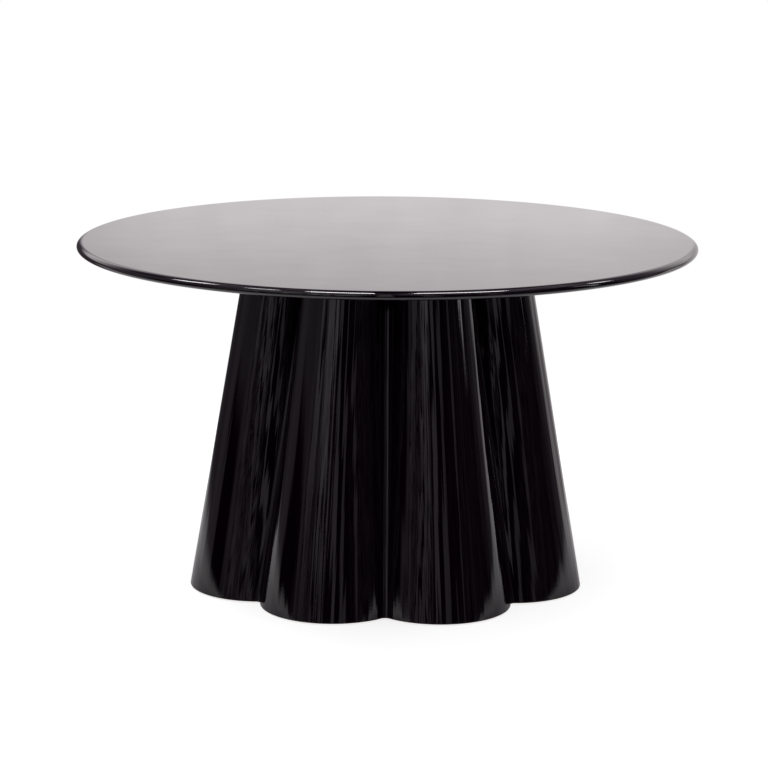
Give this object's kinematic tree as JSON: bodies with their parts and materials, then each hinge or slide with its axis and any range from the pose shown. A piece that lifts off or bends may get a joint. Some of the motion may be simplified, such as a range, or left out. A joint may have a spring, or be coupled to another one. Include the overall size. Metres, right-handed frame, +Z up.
{
  "type": "round pedestal table",
  "caption": "Round table: a thin top with a rounded rim on a hollow pedestal of merged tapering lobes, standing on recessed screw-adjustable feet.",
  "frame": {"origin": "on the floor under the centre of the top", "axes": "+Z up along the pedestal's axis; -Y towards the viewer of the picture, where a valley between two lobes faces"},
  "size_m": [1.3718, 1.3718, 0.762],
  "materials": {
    "lacquered_board": "high-gloss black lacquer over fibreboard",
    "lacquered_shell": "high-gloss black lacquer over a glass-reinforced polyester moulding",
    "plywood": "sanded birch plywood, unfinished",
    "brass": "turned brass",
    "zinc_steel": "bright zinc-plated steel",
    "nylon": "black moulded nylon"
  },
  "bodies": {
    "table": {"top_board": "lacquered_board", "pedestal_shell": "lacquered_shell", "head_board": "plywood", "foot_ring": "plywood", "top_inserts": "brass", "top_bolts": "zinc_steel", "top_bolt_washers": "zinc_steel", "foot_inserts": "brass"},
    "foot_pad_1": {"foot_pad_1": "nylon"},
    "foot_stem_1": {"foot_stem_1": "zinc_steel"},
    "foot_pad_2": {"foot_pad_2": "nylon"},
    "foot_stem_2": {"foot_stem_2": "zinc_steel"},
    "foot_pad_3": {"foot_pad_3": "nylon"},
    "foot_stem_3": {"foot_stem_3": "zinc_steel"},
    "foot_pad_4": {"foot_pad_4": "nylon"},
    "foot_stem_4": {"foot_stem_4": "zinc_steel"},
    "foot_pad_5": {"foot_pad_5": "nylon"},
    "foot_stem_5": {"foot_stem_5": "zinc_steel"},
    "foot_pad_6": {"foot_pad_6": "nylon"},
    "foot_stem_6": {"foot_stem_6": "zinc_steel"},
    "foot_pad_7": {"foot_pad_7": "nylon"},
    "foot_stem_7": {"foot_stem_7": "zinc_steel"},
    "foot_pad_8": {"foot_pad_8": "nylon"},
    "foot_stem_8": {"foot_stem_8": "zinc_steel"}
  },
  "joints": [
    {"name": "foot_1_height", "type": "slide", "parent": "table", "child": "foot_pad_1", "axis": [0, 0, -1], "range_m": [0, 0.01125]},
    {"name": "foot_1_screw", "type": "hinge", "parent": "foot_pad_1", "child": "foot_stem_1", "pos_m": [0.15154, -0.36586, 0.01], "axis": [0, 0, -1], "range_deg": [0, 2700]},
    {"name": "foot_2_height", "type": "slide", "parent": "table", "child": "foot_pad_2", "axis": [0, 0, -1], "range_m": [0, 0.01125]},
    {"name": "foot_2_screw", "type": "hinge", "parent": "foot_pad_2", "child": "foot_stem_2", "pos_m": [0.36586, -0.15154, 0.01], "axis": [0, 0, -1], "range_deg": [0, 2700]},
    {"name": "foot_3_height", "type": "slide", "parent": "table", "child": "foot_pad_3", "axis": [0, 0, -1], "range_m": [0, 0.01125]},
    {"name": "foot_3_screw", "type": "hinge", "parent": "foot_pad_3", "child": "foot_stem_3", "pos_m": [0.36586, 0.15154, 0.01], "axis": [0, 0, -1], "range_deg": [0, 2700]},
    {"name": "foot_4_height", "type": "slide", "parent": "table", "child": "foot_pad_4", "axis": [0, 0, -1], "range_m": [0, 0.01125]},
    {"name": "foot_4_screw", "type": "hinge", "parent": "foot_pad_4", "child": "foot_stem_4", "pos_m": [0.15154, 0.36586, 0.01], "axis": [0, 0, -1], "range_deg": [0, 2700]},
    {"name": "foot_5_height", "type": "slide", "parent": "table", "child": "foot_pad_5", "axis": [0, 0, -1], "range_m": [0, 0.01125]},
    {"name": "foot_5_screw", "type": "hinge", "parent": "foot_pad_5", "child": "foot_stem_5", "pos_m": [-0.15154, 0.36586, 0.01], "axis": [0, 0, -1], "range_deg": [0, 2700]},
    {"name": "foot_6_height", "type": "slide", "parent": "table", "child": "foot_pad_6", "axis": [0, 0, -1], "range_m": [0, 0.01125]},
    {"name": "foot_6_screw", "type": "hinge", "parent": "foot_pad_6", "child": "foot_stem_6", "pos_m": [-0.36586, 0.15154, 0.01], "axis": [0, 0, -1], "range_deg": [0, 2700]},
    {"name": "foot_7_height", "type": "slide", "parent": "table", "child": "foot_pad_7", "axis": [0, 0, -1], "range_m": [0, 0.01125]},
    {"name": "foot_7_screw", "type": "hinge", "parent": "foot_pad_7", "child": "foot_stem_7", "pos_m": [-0.36586, -0.15154, 0.01], "axis": [0, 0, -1], "range_deg": [0, 2700]},
    {"name": "foot_8_height", "type": "slide", "parent": "table", "child": "foot_pad_8", "axis": [0, 0, -1], "range_m": [0, 0.01125]},
    {"name": "foot_8_screw", "type": "hinge", "parent": "foot_pad_8", "child": "foot_stem_8", "pos_m": [-0.15154, -0.36586, 0.01], "axis": [0, 0, -1], "range_deg": [0, 2700]}
  ],
  "couplings": [
    {"joint": "foot_1_screw", "follows": "foot_1_height", "rad_per_m": 4188.8},
    {"joint": "foot_2_screw", "follows": "foot_2_height", "rad_per_m": 4188.8},
    {"joint": "foot_3_screw", "follows": "foot_3_height", "rad_per_m": 4188.8},
    {"joint": "foot_4_screw", "follows": "foot_4_height", "rad_per_m": 4188.8},
    {"joint": "foot_5_screw", "follows": "foot_5_height", "rad_per_m": 4188.8},
    {"joint": "foot_6_screw", "follows": "foot_6_height", "rad_per_m": 4188.8},
    {"joint": "foot_7_screw", "follows": "foot_7_height", "rad_per_m": 4188.8},
    {"joint": "foot_8_screw", "follows": "foot_8_height", "rad_per_m": 4188.8}
  ]
}
